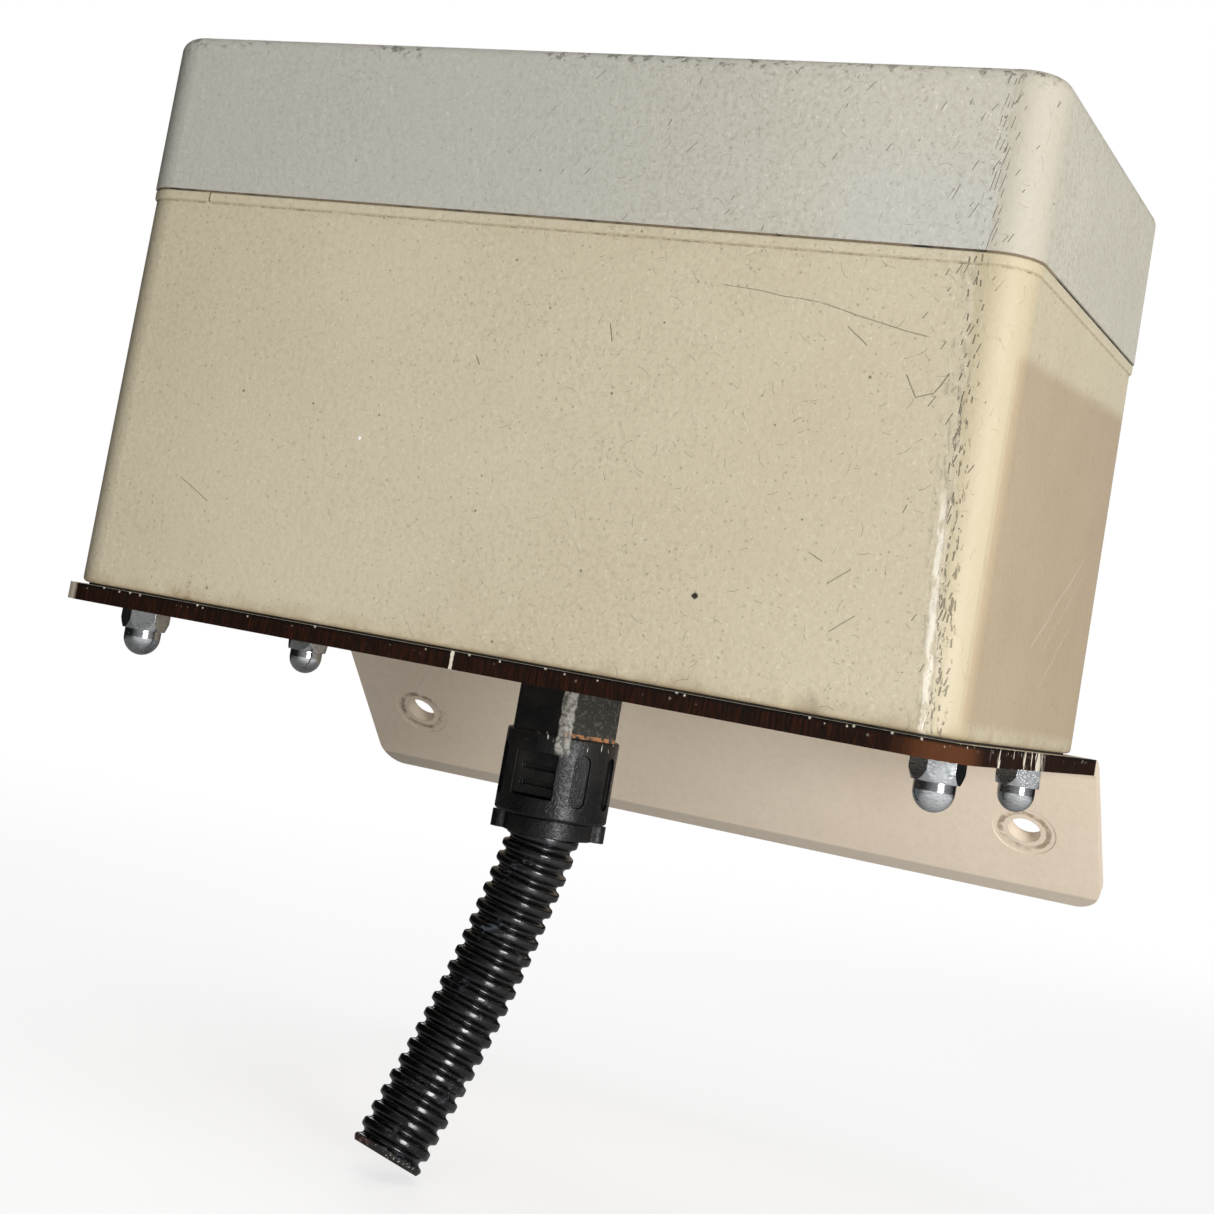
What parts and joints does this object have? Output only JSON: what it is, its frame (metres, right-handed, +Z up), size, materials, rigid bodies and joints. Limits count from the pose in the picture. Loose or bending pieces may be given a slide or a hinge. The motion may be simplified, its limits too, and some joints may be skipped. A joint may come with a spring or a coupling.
{
  "type": "garage door opener",
  "caption": "Garage door opener drive unit: a beige steel box with a lift-off lid on a bent wall bracket, a conduit stub below and a geared output shaft at its side.",
  "frame": {"origin": "middle of the two fixing holes, on the rear face of the bracket's slanted flange", "axes": "+X to the case's right seen from its front, +Y to its back, +Z up"},
  "size_m": [0.309, 0.2197, 0.3275],
  "materials": {
    "case_paint": "beige stove enamel with a fine orange-peel surface, scuffed",
    "lid_paint": "slightly greyer beige enamel, scuffed",
    "bracket_paint": "beige enamel with worn, dark brown cut edges",
    "zinc": "bright zinc plate",
    "nylon": "black glass-filled nylon",
    "conduit": "black glossy corrugated plastic",
    "rubber": "black rubber",
    "machined_steel": "machined steel",
    "sheet_steel": "zinc-plated sheet steel",
    "bronze": "oiled bronze",
    "motor_paint": "black painted motor can",
    "core_steel": "dark laminated steel",
    "magnet": "dark ferrite",
    "carbon": "pressed carbon",
    "winding": "lacquered copper wire",
    "board": "green circuit board",
    "black_plastic": "moulded black plastic",
    "blue_plastic": "moulded blue plastic",
    "green_plastic": "moulded green plastic",
    "red_plastic": "red moulded button",
    "white_plastic": "white moulded button",
    "sleeve": "black heat-shrunk sleeve",
    "heat_sink": "extruded aluminium",
    "wire": "insulated wire"
  },
  "bodies": {
    "case": {"case_body": "case_paint", "rim_frame": "case_paint", "lid_seal": "rubber", "lid_posts": "sheet_steel", "base_gasket": "rubber", "mounting_bracket": "bracket_paint", "case_bolts": "zinc", "case_washers": "zinc", "cap_nuts": "zinc", "conduit_fitting": "nylon", "fitting_latches": "nylon", "fitting_locknut": "nylon", "fitting_seal": "rubber", "conduit": "conduit", "left_drive_plate": "sheet_steel", "motor_plate": "sheet_steel", "drive_screws": "zinc", "plate_spacers": "machined_steel", "shaft_bushes": "bronze", "output_seal": "rubber", "motor_can": "motor_paint", "motor_magnets": "magnet", "motor_end_cap": "black_plastic", "motor_brushes": "carbon", "motor_screws": "zinc", "limit_bracket": "sheet_steel", "limit_switches": "black_plastic", "switch_pins": "machined_steel", "control_board": "board", "board_standoffs": "zinc", "low_screws": "zinc", "transformer_core": "core_steel", "transformer_coil": "winding", "transformer_strap": "sheet_steel", "relays": "blue_plastic", "terminal_block": "green_plastic", "smoothing_capacitor": "sleeve", "heat_sink": "heat_sink", "internal_leads": "wire", "button_bases": "black_plastic"},
    "lid_unit": {"lid": "lid_paint", "lid_screws": "zinc", "lid_washers": "rubber"},
    "output": {"output_shaft": "machined_steel", "output_gear": "machined_steel", "output_collars": "machined_steel", "limit_pinion": "white_plastic"},
    "middle": {"middle_shaft": "machined_steel", "final_pinion": "machined_steel", "first_gear": "machined_steel"},
    "rotor": {"motor_pinion": "bronze", "motor_shaft": "machined_steel", "motor_armature": "winding"},
    "cam_unit": {"limit_gear": "white_plastic", "limit_shaft": "machined_steel", "limit_cams": "red_plastic"},
    "ring": {"locking_ring": "nylon"},
    "learn": {"learn_button": "red_plastic"},
    "set": {"set_button": "white_plastic"}
  },
  "joints": [
    {"name": "lid_lift", "type": "slide", "parent": "case", "child": "lid_unit", "axis": [0, 0, 1], "range_m": [0, 0.06]},
    {"name": "output_turn", "type": "hinge", "parent": "case", "child": "output", "pos_m": [-0.1, -0.12514, 0.08068], "axis": [1, 0, 0], "continuous": true},
    {"name": "middle_turn", "type": "hinge", "parent": "case", "child": "middle", "pos_m": [-0.1, -0.09979, 0.12836], "axis": [1, 0, 0], "continuous": true},
    {"name": "motor_turn", "type": "hinge", "parent": "case", "child": "rotor", "pos_m": [-0.1, -0.14325, 0.14001], "axis": [1, 0, 0], "continuous": true},
    {"name": "limit_turn", "type": "hinge", "parent": "case", "child": "cam_unit", "pos_m": [-0.1, -0.08653, 0.07387], "axis": [1, 0, 0], "continuous": true},
    {"name": "ring_turn", "type": "hinge", "parent": "case", "child": "ring", "pos_m": [-0.001, -0.12014, -0.02652], "axis": [0, 0, 1], "range_deg": [0, 30]},
    {"name": "learn_press", "type": "slide", "parent": "case", "child": "learn", "axis": [0, 0, -1], "range_m": [0, 0.0012], "stiffness_N_per_m": 400, "springref_m": -0.001},
    {"name": "set_press", "type": "slide", "parent": "case", "child": "set", "axis": [0, 0, -1], "range_m": [0, 0.0012], "stiffness_N_per_m": 400, "springref_m": -0.001}
  ],
  "couplings": [
    {"joint": "middle_turn", "follows": "output_turn", "ratio": -5},
    {"joint": "motor_turn", "follows": "output_turn", "ratio": 25},
    {"joint": "limit_turn", "follows": "output_turn", "ratio": -0.16667}
  ]
}
